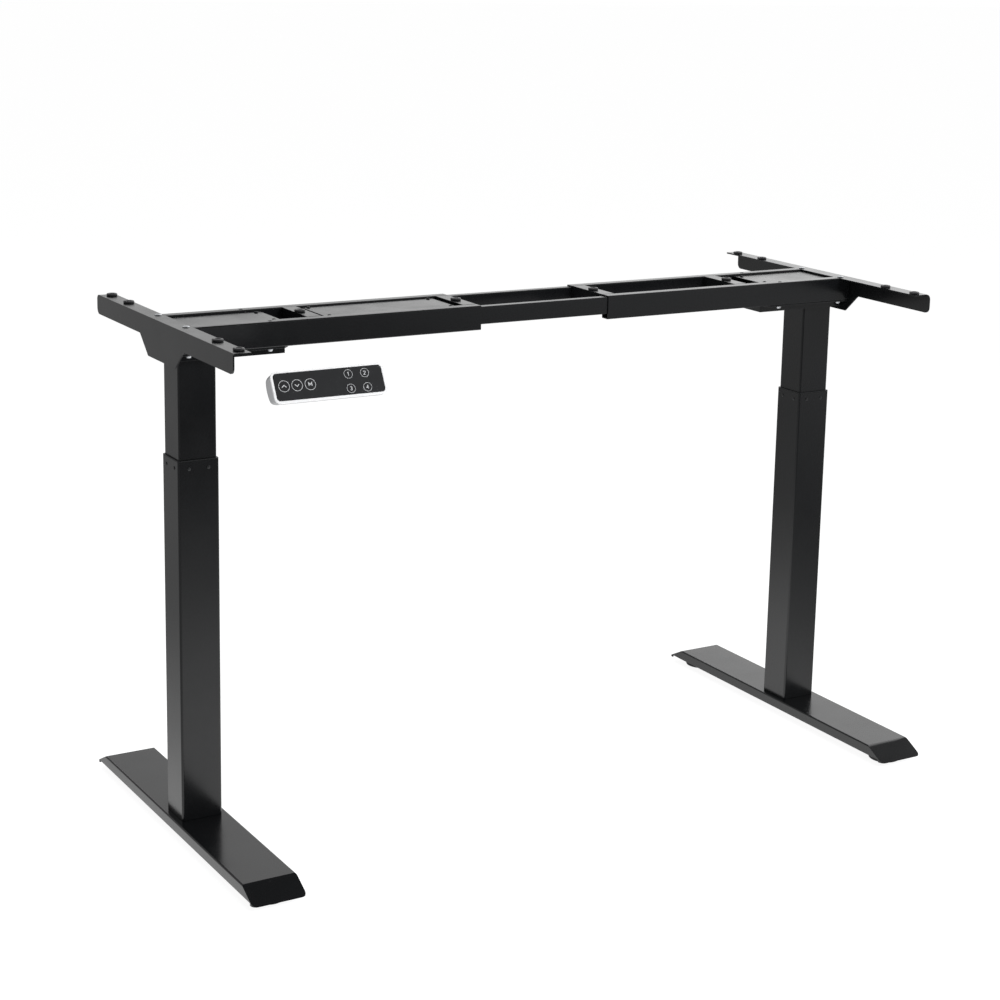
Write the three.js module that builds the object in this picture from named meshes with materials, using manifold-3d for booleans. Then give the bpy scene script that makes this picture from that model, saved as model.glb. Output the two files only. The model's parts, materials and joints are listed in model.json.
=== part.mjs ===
// Height adjustable standing desk frame: two telescopic motor legs on long flat feet, a rail frame
// that widens in the middle, L-shaped side brackets and a tilted touch handset.
// Millimetres. X runs along the desk, -Y is the user's side, +Z is up, z = 0 is the floor.

import * as THREE from 'three';
import { mergeVertices } from 'three/addons/utils/BufferGeometryUtils.js';
import Module from 'manifold-3d';

const wasm = await Module();
wasm.setup();

// ---------------------------------------------------------------- driving dimensions
const GAP = 0.3;

const FRAME_TOP = 885;
const COLUMN_X = 635.4;

const FOOT_TOP = 35;
const FOOT_WIDTH = 94;
const FOOT_TOP_HALF = 306;
const FOOT_HALF = 350.6;
const FOOT_FLAP_LOW = 12.2;
const FOOT_SIDE_LOW = 16.5;
const FOOT_SHEET = 3;
const FOOT_BEND = 3;

const GLIDE_Y = 302;
const GLIDE_RADIUS = 30;
const GLIDE_PAD_HIGH = 12;
const STUD_RADIUS = 4;
const BOSS_RADIUS = 10;
const BOSS_LOW = 21;

const OUTER_X = 71.6;
const OUTER_Y = 68.6;
const COLUMN_WALL = 1.5;
const COLUMN_CORNER = 4;
const OUTER_TOP = 659;
const RIM_HIGH = 1.2;
const BUSHING_DEEP = 80;
const INNER_X = 66;
const INNER_Y = 63;
const INNER_BOTTOM = 213;

const SCREW_RADIUS = 7;
const SCREW_LOW = 205;
const SCREW_TOP = 860;
const NUT_LOW = 560;
const NUT_TOP = 600;
const PUSH_TUBE_RADIUS = 13;
const PUSH_TUBE_BORE = 9;

const RAIL_HIGH = 42.6;
const RAIL_WIDE = 20;
const RAIL_WALL = 2;
const RAIL_Y = 60;
const RAIL_INNER_END = 130;
const RAIL_OUTER_END = 680.6;
const INNER_RAIL_HALF = 430;
const INNER_RAIL_HIGH = 31;
const INNER_RAIL_WIDE = 15.4;

const BRACKET_FACE = 684;
const BRACKET_SHEET = 2.6;
const BRACKET_HALF = 296;
const WEB_SHORT = 291.5;
const BRACKET_FLANGE = 28.4;
const BRACKET_NOTCH = 9;
const BRACKET_ARM = 33.5;
const BRACKET_DROP = 66;
const TRAPEZOID_TOP_HALF = 94;
const TRAPEZOID_LOW_HALF = 58.6;

const PAD_X = 666;
const PAD_Y = [-272, -191, 191, 272];
const PLATE_PAD_X = [439, 142];
const PAD_RADIUS = 9.3;
const PAD_HIGH = 4;

const TRAY_IN = 487;
const TRAY_TOP = 842.1;
const TRAY_LOW = 826.6;
const TRAY_SHEET = 3;
const TRAY_HALF = 68;
const TRAY_CORNER = 10;
const PAN_HALF = 46;

const PLATE_X = [436, 142.5];
const PLATE_WIDE = 25;
const PLATE_DEEP = 22;
const PLATE_SHEET = 2.4;

const COVER_IN = 491;
const COVER_OUT = 670;
const COVER_TOP = 881.6;
const COVER_SHEET = 2;

const BOX_X = [-413, -165.5];
const BOX_HALF = 49.2;
const BOX_LOW = 852;
const BOX_SPLIT = 868;
const BOX_TOP = 882.4;

const HANDSET_X = -541.8;
const HANDSET_Y = -328.6;
const HANDSET_Z = 834.2;
const HANDSET_TILT = 28;
const HANDSET_WIDE = 190;
const HANDSET_TALL = 51;
const HANDSET_CORNER = 10;
const HANDSET_DEEP = 24;

// ---------------------------------------------------------------- solids
const toSolid = (geometry) => {
  const bare = geometry.clone();
  bare.deleteAttribute('normal');
  bare.deleteAttribute('uv');
  const welded = mergeVertices(bare, 1e-4);
  return new wasm.Manifold(new wasm.Mesh({
    numProp: 3,
    vertProperties: Float32Array.from(welded.attributes.position.array),
    triVerts: Uint32Array.from(welded.index.array),
  }));
};

const toGeometry = (solid) => {
  const mesh = solid.getMesh();
  const geometry = new THREE.BufferGeometry();
  geometry.setAttribute('position', new THREE.BufferAttribute(mesh.vertProperties, 3));
  geometry.setIndex(new THREE.BufferAttribute(mesh.triVerts, 1));
  geometry.computeVertexNormals();
  return geometry;
};

const shapeOf = (points, holes = []) => {
  const shape = new THREE.Shape(points.map(([a, b]) => new THREE.Vector2(a, b)));
  for (const hole of holes) {
    shape.holes.push(new THREE.Path(hole.map(([a, b]) => new THREE.Vector2(a, b))));
  }
  return shape;
};

const extruded = (points, length, holes) => new THREE.ExtrudeGeometry(shapeOf(points, holes), {
  depth: length,
  bevelEnabled: false,
  curveSegments: 6,
});

// Points are [y, z].
const alongX = (points, x0, x1, holes) => {
  const turn = new THREE.Matrix4().makeBasis(
    new THREE.Vector3(0, 1, 0), new THREE.Vector3(0, 0, 1), new THREE.Vector3(1, 0, 0));
  return toSolid(extruded(points, x1 - x0, holes).applyMatrix4(turn).translate(x0, 0, 0));
};

// Points are [x, z].
const alongY = (points, y0, y1, holes) => {
  const turn = new THREE.Matrix4().makeBasis(
    new THREE.Vector3(1, 0, 0), new THREE.Vector3(0, 0, 1), new THREE.Vector3(0, -1, 0));
  return toSolid(extruded(points, y1 - y0, holes).applyMatrix4(turn).translate(0, y1, 0));
};

// Points are [x, y].
const alongZ = (points, z0, z1, holes) =>
  toSolid(extruded(points, z1 - z0, holes).translate(0, 0, z0));

const block = (x0, x1, y0, y1, z0, z1) =>
  toSolid(new THREE.BoxGeometry(x1 - x0, y1 - y0, z1 - z0)
    .translate((x0 + x1) / 2, (y0 + y1) / 2, (z0 + z1) / 2));

// Profile points are [radius, z].
const turned = (profile, x, y, segments = 24) =>
  toSolid(new THREE.LatheGeometry(profile.map(([r, z]) => new THREE.Vector2(r, z)), segments)
    .rotateX(Math.PI / 2).translate(x, y, 0));

const rodZ = (radius, x, y, z0, z1, segments = 24) =>
  turned([[0, z0], [radius, z0], [radius, z1], [0, z1]], x, y, segments);

const roundedRect = (cx, cy, width, height, radius, steps = 4) => {
  const points = [];
  const corners = [[1, -1, -90], [1, 1, 0], [-1, 1, 90], [-1, -1, 180]];
  for (const [sx, sy, start] of corners) {
    for (let i = 0; i <= steps; i += 1) {
      const angle = THREE.MathUtils.degToRad(start + (90 * i) / steps);
      points.push([
        cx + sx * (width / 2 - radius) + radius * Math.cos(angle),
        cy + sy * (height / 2 - radius) + radius * Math.sin(angle),
      ]);
    }
  }
  return points;
};

const joined = (...solids) => solids.reduce((a, b) => a.add(b));
const cut = (solid, ...tools) => tools.reduce((a, b) => a.subtract(b), solid);

// ---------------------------------------------------------------- materials and the group
const group = new THREE.Group();
group.name = 'standing_desk_frame';

const COLORS = {
  powder_coat: [0x17181a, 0.35, 0.0],
  zinc_steel: [0xb9bcc0, 0.35, 1.0],
  rubber: [0x121212, 0.8, 0.0],
  black_plastic: [0x1b1c1e, 0.5, 0.0],
  silver_plastic: [0xc4c6c9, 0.35, 0.0],
  face_plastic: [0x08090a, 0.08, 0.0],
};

const add = (name, solid, finish) => {
  const [color, roughness, metalness] = COLORS[finish];
  const material = new THREE.MeshStandardMaterial({ color, roughness, metalness });
  material.name = finish;
  const mesh = new THREE.Mesh(toGeometry(solid), material);
  mesh.name = name;
  group.add(mesh);
};

// ---------------------------------------------------------------- foot and glides
const footProfile = (inset) => {
  const slope = (FOOT_TOP - FOOT_FLAP_LOW) / (FOOT_HALF - FOOT_TOP_HALF);
  const lean = Math.atan(slope);
  const shift = inset * Math.tan(lean / 2);
  const low = inset > 0 ? -5 : FOOT_FLAP_LOW;
  const topHalf = FOOT_TOP_HALF - shift;
  const lowHalf = topHalf + (FOOT_TOP - inset - low) / slope;
  return [[-lowHalf, low], [lowHalf, low], [topHalf, FOOT_TOP - inset], [-topHalf, FOOT_TOP - inset]];
};

const footShell = (x, inset) => {
  const width = FOOT_WIDTH - 2 * inset;
  const radius = Math.max(FOOT_BEND - inset, 1);
  const section = roundedRect(x, FOOT_TOP - inset - 30, width, 60, radius);
  const plan = roundedRect(x, 0, width, 2 * (FOOT_HALF - inset), 10 - inset);
  return alongX(footProfile(inset), x - width / 2, x + width / 2)
    .intersect(alongY(section, -400, 400))
    .intersect(alongZ(plan, -10, 60));
};

const buildFoot = (side, x) => {
  let foot = cut(
    footShell(x, 0),
    footShell(x, FOOT_SHEET),
    block(x - 60, x + 60, 12 - FOOT_HALF, FOOT_HALF - 12, 0, FOOT_SIDE_LOW),
  );
  for (const y of [-GLIDE_Y, GLIDE_Y]) {
    foot = foot.add(rodZ(BOSS_RADIUS, x, y, BOSS_LOW, FOOT_TOP - FOOT_SHEET + 0.5, 6));
    foot = foot.subtract(rodZ(STUD_RADIUS + GAP, x, y, BOSS_LOW - 1, FOOT_TOP - FOOT_SHEET + 0.2));
  }
  for (const [dx, dy] of [[-22, -22], [-22, 22], [22, -22], [22, 22]]) {
    foot = foot.subtract(rodZ(4.3, x + dx, dy, 20, 40, 16));
  }
  add(`${side}_foot`, foot, 'powder_coat');

  for (const [end, y] of [['front', -GLIDE_Y], ['rear', GLIDE_Y]]) {
    const profile = [
      [0, 0], [GLIDE_RADIUS - 3, 0], [GLIDE_RADIUS, 2.5], [GLIDE_RADIUS, GLIDE_PAD_HIGH - 2],
      [GLIDE_RADIUS - 2.5, GLIDE_PAD_HIGH], [9, GLIDE_PAD_HIGH], [9, 16], [STUD_RADIUS, 16],
      [STUD_RADIUS, FOOT_TOP - FOOT_SHEET - 0.2], [0, FOOT_TOP - FOOT_SHEET - 0.2],
    ];
    add(`${side}_glide_${end}`, turned(profile, x, y, 32), 'rubber');
  }
};

// ---------------------------------------------------------------- telescopic leg
const squareTube = (x, sizeX, sizeY, wall, corner, z0, z1) => alongZ(
  roundedRect(x, 0, sizeX, sizeY, corner), z0, z1,
  [roundedRect(x, 0, sizeX - 2 * wall, sizeY - 2 * wall, Math.max(corner - wall, 0.8))]);

const buildLeg = (side, x) => {
  const low = FOOT_TOP + GAP;
  const boltHoles = [[-22, -22], [-22, 22], [22, -22], [22, 22]]
    .map(([dx, dy]) => rodZ(3.4, x + dx, dy, low - 1, low + 10, 16));
  const plate = alongZ(roundedRect(x, 0, OUTER_X, OUTER_Y, COLUMN_CORNER), low, low + 5);
  const outer = squareTube(x, OUTER_X, OUTER_Y, COLUMN_WALL, COLUMN_CORNER, low, OUTER_TOP - RIM_HIGH - GAP);
  add(`${side}_outer_column`, cut(joined(plate, outer), ...boltHoles), 'powder_coat');

  const bore = roundedRect(x, 0, INNER_X + 0.6, INNER_Y + 0.6, COLUMN_CORNER);
  const sleeve = roundedRect(
    x, 0, OUTER_X - 2 * COLUMN_WALL - 0.6, OUTER_Y - 2 * COLUMN_WALL - 0.6, COLUMN_CORNER - COLUMN_WALL);
  const rim = roundedRect(x, 0, OUTER_X, OUTER_Y, COLUMN_CORNER);
  add(`${side}_slide_bushing`, joined(
    alongZ(sleeve, OUTER_TOP - BUSHING_DEEP, OUTER_TOP - 0.4, [bore]),
    alongZ(rim, OUTER_TOP - RIM_HIGH, OUTER_TOP, [bore]),
  ), 'black_plastic');

  const endPlateTop = TRAY_TOP - TRAY_SHEET - GAP;
  const tube = squareTube(
    x, INNER_X, INNER_Y, COLUMN_WALL, COLUMN_CORNER - 0.5, INNER_BOTTOM, endPlateTop);
  const endPlate = cut(
    alongZ(roundedRect(x, 0, 84, 84, 6), endPlateTop - 3, endPlateTop),
    rodZ(14, x, 0, endPlateTop - 5, endPlateTop + 1),
  );
  add(`${side}_inner_column`, joined(tube, endPlate), 'powder_coat');

  const floor = low + 5 + GAP;
  add(`${side}_push_tube`, turned([
    [PUSH_TUBE_BORE, floor], [24, floor], [24, floor + 5], [PUSH_TUBE_RADIUS, floor + 5],
    [PUSH_TUBE_RADIUS, NUT_LOW - GAP], [PUSH_TUBE_BORE, NUT_LOW - GAP], [PUSH_TUBE_BORE, floor],
  ], x, 0), 'zinc_steel');
  add(`${side}_spindle_nut`, turned([
    [SCREW_RADIUS + GAP, NUT_LOW], [15, NUT_LOW], [15, NUT_LOW + 8], [18, NUT_LOW + 10],
    [18, NUT_TOP], [SCREW_RADIUS + GAP, NUT_TOP], [SCREW_RADIUS + GAP, NUT_LOW],
  ], x, 0), 'black_plastic');
  add(`${side}_lead_screw`, turned([
    [0, SCREW_LOW], [SCREW_RADIUS - 1.5, SCREW_LOW], [SCREW_RADIUS, SCREW_LOW + 1.5],
    [SCREW_RADIUS, 826], [12, 826], [12, 836], [SCREW_RADIUS, 836],
    [SCREW_RADIUS, SCREW_TOP], [0, SCREW_TOP],
  ], x, 0), 'zinc_steel');
};

// ---------------------------------------------------------------- head: tray, gearbox, motor, cover
const buildHead = (side, sign) => {
  const x = sign * COLUMN_X;
  const span = (a, b) => (sign > 0 ? [a, b] : [-b, -a]);
  // The tray is built for the right-hand side and turned half round for the left.
  const [tray0, tray1] = [TRAY_IN, 681];
  const cornerY = TRAY_HALF - TRAY_CORNER;
  const trayPlan = [
    [tray0, -cornerY], [tray0 + TRAY_CORNER, -TRAY_HALF], [tray1, -TRAY_HALF],
    [tray1, TRAY_HALF], [tray0 + TRAY_CORNER, TRAY_HALF], [tray0, cornerY],
  ];
  let tray = joined(
    alongZ(trayPlan, TRAY_TOP - TRAY_SHEET, TRAY_TOP),
    cut(
      block(tray0, tray1, -PAN_HALF, PAN_HALF, TRAY_LOW, TRAY_TOP - 1),
      block(tray0 + TRAY_SHEET, tray1 + 9, TRAY_SHEET - PAN_HALF, PAN_HALF - TRAY_SHEET,
        TRAY_LOW - 1, TRAY_TOP - TRAY_SHEET),
    ),
  );
  tray = cut(tray, rodZ(14, COLUMN_X, 0, TRAY_TOP - 10, TRAY_TOP + 1));
  if (sign < 0) tray = tray.rotate([0, 0, 180]);
  add(`${side}_column_tray`, tray, 'powder_coat');

  const gearLow = TRAY_TOP + GAP;
  const [gear0, gear1] = span(602, 676);
  const gearbox = cut(
    joined(
      alongZ(roundedRect((gear0 + gear1) / 2, 0, 74, 84, 10), gearLow, 866),
      alongZ(roundedRect(sign * 630, 0, 54, 60, 16), gearLow, 876),
    ),
    rodZ(SCREW_RADIUS + GAP, x, 0, gearLow - 1, SCREW_TOP + 2),
  );
  add(`${side}_gearbox`, gearbox, 'black_plastic');

  const motorProfile = [[0, 0], [9, 0], [9, 4], [15.2, 6], [15.2, 86], [12, 90], [0, 90]];
  const motor = new THREE.LatheGeometry(
    motorProfile.map(([r, z]) => new THREE.Vector2(r, z)), 28);
  motor.rotateZ(sign > 0 ? Math.PI / 2 : -Math.PI / 2);
  motor.translate(sign * 601.6, 0, 861);
  add(`${side}_motor`, toSolid(motor), 'zinc_steel');

  const [cover0, cover1] = span(COVER_IN, COVER_OUT);
  const coverHalf = RAIL_Y - RAIL_WIDE / 2 - GAP;
  let cover = cut(
    block(cover0, cover1, -coverHalf, coverHalf, gearLow, COVER_TOP),
    block(cover0 - 5, cover1 + 5, COVER_SHEET - coverHalf, coverHalf - COVER_SHEET,
      gearLow - 1, COVER_TOP - COVER_SHEET),
  );
  for (const y of [-36, 36]) {
    cover = cut(cover, rodZ(2.2, sign * 502, y, COVER_TOP - 5, COVER_TOP + 1, 12));
  }
  add(`${side}_motor_cover`, cover, 'powder_coat');
};

// ---------------------------------------------------------------- top frame
const buildBracket = (side, sign) => {
  const top = FRAME_TOP;
  const arm = top - BRACKET_ARM;
  const drop = top - BRACKET_DROP;
  const arc = (cy, cz, radius, start) => [0, 1, 2, 3, 4].map((i) => {
    const angle = THREE.MathUtils.degToRad(start + i * 22.5);
    return [cy + radius * Math.cos(angle), cz + radius * Math.sin(angle)];
  });
  // One pressing serves both sides, turned half round: its long round end is at the left rear and
  // at the right front. Here the long end is at +y.
  const web = [
    [-TRAPEZOID_LOW_HALF, drop], [TRAPEZOID_LOW_HALF, drop], [TRAPEZOID_TOP_HALF, arm],
    ...arc(BRACKET_HALF - 10, arm + 10, 10, -90),
    ...arc(BRACKET_HALF - 8, top - 8, 8, 0),
    [-WEB_SHORT, top],
    ...arc(10 - WEB_SHORT, arm + 10, 10, 180),
    [-TRAPEZOID_TOP_HALF, arm],
  ];
  const flange = [
    [-BRACKET_FACE, -BRACKET_HALF], [BRACKET_FLANGE - BRACKET_FACE, -BRACKET_HALF],
    [BRACKET_FLANGE - BRACKET_FACE, BRACKET_HALF - BRACKET_NOTCH],
    [-BRACKET_FACE, BRACKET_HALF - BRACKET_NOTCH],
  ];
  let bracket = joined(
    alongX(web, -BRACKET_FACE, BRACKET_SHEET - BRACKET_FACE),
    alongZ(flange, top - BRACKET_SHEET, top),
  );
  if (sign > 0) bracket = bracket.rotate([0, 0, 180]);
  for (const y of PAD_Y) {
    bracket = cut(bracket, rodZ(3.5, sign * PAD_X, y, top - 5, top + 1, 16));
  }
  for (const y of [-RAIL_Y, RAIL_Y]) {
    bracket = cut(bracket, rodZ(3.3, sign * 665, y, top - 5, top + 1, 16));
  }
  add(`${side}_side_bracket`, bracket, 'powder_coat');

  for (const [end, y] of [['front', -RAIL_Y], ['rear', RAIL_Y]]) {
    add(`${side}_bracket_screw_${end}`, turned([
      [0, top - 12], [3, top - 12], [3, top + GAP], [5.4, top + GAP], [5.4, top + 1.4],
      [3.6, top + 2.6], [0, top + 2.9],
    ], sign * 665, y, 20), 'zinc_steel');
  }
};

const pad = (name, x, y, base) => add(name, turned([
  [0, base - 4.5], [3, base - 4.5], [3, base + GAP], [PAD_RADIUS, base + GAP],
  [PAD_RADIUS, base + PAD_HIGH - 1.2], [PAD_RADIUS - 1.4, base + PAD_HIGH],
  [2.4, base + PAD_HIGH], [2.4, base + PAD_HIGH - 1.6], [0, base + PAD_HIGH - 1.6],
], x, y, 20), 'rubber');

const buildRails = (side, sign) => {
  const top = FRAME_TOP;
  const span = (a, b) => (sign > 0 ? [a, b] : [-b, -a]);
  const [rail0, rail1] = span(RAIL_INNER_END, RAIL_OUTER_END);
  const [notch0, notch1] = span(BRACKET_FACE - BRACKET_FLANGE - GAP, RAIL_OUTER_END + 1);
  for (const [end, y] of [['front', -RAIL_Y], ['rear', RAIL_Y]]) {
    const tube = alongX(
      roundedRect(y, top - RAIL_HIGH / 2, RAIL_WIDE, RAIL_HIGH, 2.2, 3), rail0, rail1,
      [roundedRect(y, top - RAIL_HIGH / 2, RAIL_WIDE - 2 * RAIL_WALL, RAIL_HIGH - 2 * RAIL_WALL, 0.6, 2)]);
    const notch = block(notch0, notch1, y - 20, y + 20, top - BRACKET_SHEET - GAP, top + 5);
    add(`${side}_rail_${end}`, cut(tube, notch), 'powder_coat');
  }

  PLATE_X.forEach((centre, i) => {
    const place = ['mid', 'end'][i];
    const half = PLATE_WIDE / 2;
    const inside = half - PLATE_SHEET;
    const x = sign * centre;
    const section = [
      [x - half, top - PLATE_DEEP], [x - inside, top - PLATE_DEEP], [x - inside, top - PLATE_SHEET],
      [x + inside, top - PLATE_SHEET], [x + inside, top - PLATE_DEEP], [x + half, top - PLATE_DEEP],
      [x + half, top], [x - half, top],
    ];
    const reach = RAIL_Y - RAIL_WIDE / 2 - GAP;
    const hole = rodZ(3.5, sign * PLATE_PAD_X[i], 0, top - 5, top + 1, 16);
    const plate = cut(alongY(section, -reach, reach), hole);
    add(`${side}_cross_plate_${place}`, plate, 'powder_coat');
    pad(`${side}_pad_${place}`, sign * PLATE_PAD_X[i], 0, top);
  });

  PAD_Y.forEach((y, i) => pad(`${side}_pad_${i + 1}`, sign * PAD_X, y, top));
};

const buildInnerRails = () => {
  const middle = FRAME_TOP - RAIL_WALL - GAP - INNER_RAIL_HIGH / 2;
  for (const [end, y] of [['front', -RAIL_Y], ['rear', RAIL_Y]]) {
    add(`center_rail_${end}`, alongX(
      roundedRect(y, middle, INNER_RAIL_WIDE, INNER_RAIL_HIGH, 1.8, 3),
      -INNER_RAIL_HALF, INNER_RAIL_HALF,
      [roundedRect(y, middle, INNER_RAIL_WIDE - 4, INNER_RAIL_HIGH - 4, 0.6, 2)],
    ), 'powder_coat');
  }
};

// ---------------------------------------------------------------- control box
const buildControlBox = () => {
  const [x0, x1] = BOX_X;
  const wide = x1 - x0;
  const centre = (x0 + x1) / 2;
  let housing = alongZ(roundedRect(centre, 0, wide, 2 * BOX_HALF, 4), BOX_LOW, BOX_SPLIT - GAP);
  const ear = FRAME_TOP - PLATE_DEEP - GAP;
  housing = joined(
    housing,
    block(x0 - 16, x0 + 4, -20, 20, ear - 3, ear),
    block(x1 - 4, x1 + 16, -20, 20, ear - 3, ear),
  );
  housing = cut(housing, block(x0 + 3, x1 - 3, 3 - BOX_HALF, BOX_HALF - 3, BOX_LOW + 3, BOX_SPLIT + 1));
  for (const y of [-30, -4, 22]) {
    housing = cut(housing, block(x1 - 5, x1 + 1, y, y + 13, BOX_LOW + 4, BOX_LOW + 6.5));
  }
  add('control_box_housing', housing, 'black_plastic');
  const lid = cut(
    alongZ(roundedRect(centre, 0, wide, 2 * BOX_HALF, 4), BOX_SPLIT, BOX_TOP),
    block(x0 + 3, x1 - 3, 3 - BOX_HALF, BOX_HALF - 3, BOX_SPLIT - 1, BOX_TOP - 3),
  );
  add('control_box_lid', lid, 'powder_coat');
};

// ---------------------------------------------------------------- handset
const buildHandset = () => {
  // Built flat with its face up along +Z and its upper edge toward +Y, then tipped toward the user.
  const place = (solid) => solid
    .rotate([90 - HANDSET_TILT, 0, 0])
    .translate([HANDSET_X, HANDSET_Y, HANDSET_Z]);
  const half = HANDSET_TALL / 2 - 1;
  const backCurve = [];
  for (let i = 0; i <= 12; i += 1) {
    const angle = (Math.PI * i) / 12;
    const bulge = Math.pow(Math.sin(angle), 0.62) * (HANDSET_DEEP - 4) + 1.2 * Math.cos(angle);
    backCurve.push([half * Math.cos(angle), -4 - bulge]);
  }
  const outline = [
    [-half, -2.3], [half, -2.3], [half, -4], ...backCurve.slice(1, -1), [-half, -4],
  ].reverse();
  const inset = (half - 2.5) / half;
  const hollowLine = backCurve.slice(1, -1).map(([a, b]) => [a * inset, b * 0.86]);
  const hollowOutline = [
    [-half + 2.5, 2], [half - 2.5, 2], [half - 2.5, -4], ...hollowLine, [-half + 2.5, -4],
  ].reverse();
  const plan = roundedRect(0, 0, HANDSET_WIDE - 2, HANDSET_TALL - 2, HANDSET_CORNER - 1, 5);
  const inner = roundedRect(0, 0, HANDSET_WIDE - 7, HANDSET_TALL - 7, HANDSET_CORNER - 3, 4);
  const body = alongX(outline, -100, 100).intersect(alongZ(plan, -40, 10));
  const hollow = alongX(hollowOutline, -100, 100).intersect(alongZ(inner, -40, 10));
  add('handset_housing', place(cut(body, hollow)), 'silver_plastic');

  const bezel = cut(
    alongZ(roundedRect(0, 0, HANDSET_WIDE, HANDSET_TALL, HANDSET_CORNER, 6), -2, 0.8),
    alongZ(roundedRect(0, 0.5, HANDSET_WIDE - 8, HANDSET_TALL - 7.4, HANDSET_CORNER - 4, 6), -3, 1),
  );
  add('handset_bezel', place(bezel), 'silver_plastic');
  add('handset_face', place(
    alongZ(roundedRect(0, 0.5, HANDSET_WIDE - 8.6, HANDSET_TALL - 8, HANDSET_CORNER - 4.3, 6), -1.6, 0.4),
  ), 'face_plastic');
};

// ---------------------------------------------------------------- assembly
for (const [side, sign] of [['left', -1], ['right', 1]]) {
  buildFoot(side, sign * COLUMN_X);
  buildLeg(side, sign * COLUMN_X);
  buildHead(side, sign);
  buildBracket(side, sign);
  buildRails(side, sign);
}
buildInnerRails();
buildControlBox();
buildHandset();

export default group;
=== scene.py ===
"""Looks of a height adjustable standing desk frame with two motor legs and a touch handset."""
import json
import math

import bmesh
import bpy
from mathutils import Matrix, Vector


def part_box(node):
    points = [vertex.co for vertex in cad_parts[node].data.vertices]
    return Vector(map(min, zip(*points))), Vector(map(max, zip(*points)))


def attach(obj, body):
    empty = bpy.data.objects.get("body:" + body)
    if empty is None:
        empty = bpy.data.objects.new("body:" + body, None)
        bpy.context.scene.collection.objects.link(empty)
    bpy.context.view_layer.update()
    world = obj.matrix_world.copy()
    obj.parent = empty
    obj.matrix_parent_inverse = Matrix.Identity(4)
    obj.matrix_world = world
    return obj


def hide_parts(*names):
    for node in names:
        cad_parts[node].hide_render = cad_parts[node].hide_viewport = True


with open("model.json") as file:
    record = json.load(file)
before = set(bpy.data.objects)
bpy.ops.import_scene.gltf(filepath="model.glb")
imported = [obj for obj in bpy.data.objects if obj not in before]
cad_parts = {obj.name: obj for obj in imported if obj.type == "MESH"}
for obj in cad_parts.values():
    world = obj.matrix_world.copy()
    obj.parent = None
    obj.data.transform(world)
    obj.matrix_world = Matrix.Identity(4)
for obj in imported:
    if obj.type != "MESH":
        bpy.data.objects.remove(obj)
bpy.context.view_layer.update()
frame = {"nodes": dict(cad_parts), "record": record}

nodes = frame["nodes"]

MM = 0.001
SIDES = (("left", -1), ("right", 1))
ENDS = ("front", "rear")


# ---------------------------------------------------------------- colour and node helpers
def srgb(text):
    """An sRGB hex colour as linear RGBA."""
    values = [int(text[i:i + 2], 16) / 255 for i in (0, 2, 4)]
    linear = [v / 12.92 if v <= 0.04045 else ((v + 0.055) / 1.055) ** 2.4 for v in values]
    return (*linear, 1.0)


def node(tree, kind, settings=None, inputs=None, links=None):
    """Adds one node, with its settings, its socket values and the links into it."""
    made = tree.nodes.new(kind)
    for name, value in (settings or {}).items():
        setattr(made, name, value)
    for name, value in (inputs or {}).items():
        made.inputs[name].default_value = value
    for name, source in (links or {}).items():
        tree.links.new(source, made.inputs[name])
    return made


def new_material(name, shader):
    """A material with one Principled shader; shader holds its constant socket values."""
    material = bpy.data.materials.new(name)
    material.use_nodes = True
    tree = material.node_tree
    tree.nodes.clear()
    surface = node(tree, "ShaderNodeBsdfPrincipled", inputs=shader)
    node(tree, "ShaderNodeOutputMaterial", links={"Surface": surface.outputs["BSDF"]})
    return material, tree, surface


def ramp(tree, factor, stops):
    """A colour ramp between (place, colour) stops."""
    made = node(tree, "ShaderNodeValToRGB", links={"Fac": factor})
    elements = made.color_ramp.elements
    while len(elements) < len(stops):
        elements.new(0.5)
    for element, (place, colour) in zip(elements, stops):
        element.position = place
        element.color = colour
    return made.outputs["Color"]


# ---------------------------------------------------------------- materials
def powder_coated_steel():
    """Black polyester powder baked on steel: a glassy skin with a faint orange peel, which softens
    and slightly wobbles reflections. The peel's bumps are about 2 mm across, and broader waves in
    the film change the gloss a little from place to place. Specks of texture in the powder are
    about 0.3 mm and are drawn at 1 mm, so that they show."""
    material, tree, surface = new_material("powder_coated_steel", {"IOR": 1.5})
    place = node(tree, "ShaderNodeTexCoord").outputs["Object"]
    peel = node(tree, "ShaderNodeTexNoise", inputs={
        "Scale": 480.0, "Detail": 2.0, "Roughness": 0.5,
    }, links={"Vector": place})
    wave = node(tree, "ShaderNodeTexNoise", inputs={
        "Scale": 14.0, "Detail": 3.0, "Roughness": 0.6,
    }, links={"Vector": place})
    speck = node(tree, "ShaderNodeTexNoise", inputs={"Scale": 1000.0, "Detail": 1.0},
                 links={"Vector": place})
    gloss = node(tree, "ShaderNodeMapRange", inputs={
        "From Min": 0.3, "From Max": 0.7, "To Min": 0.17, "To Max": 0.25,
    }, links={"Value": wave.outputs["Fac"]})
    tree.links.new(gloss.outputs["Result"], surface.inputs["Roughness"])
    shade = ramp(tree, speck.outputs["Fac"], [(0.3, srgb("0B0C0D")), (0.7, srgb("111214"))])
    tree.links.new(shade, surface.inputs["Base Color"])
    bump = node(tree, "ShaderNodeBump", inputs={"Strength": 0.05, "Distance": 0.0002},
                links={"Height": peel.outputs["Fac"]})
    tree.links.new(bump.outputs["Normal"], surface.inputs["Normal"])
    return material


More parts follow.
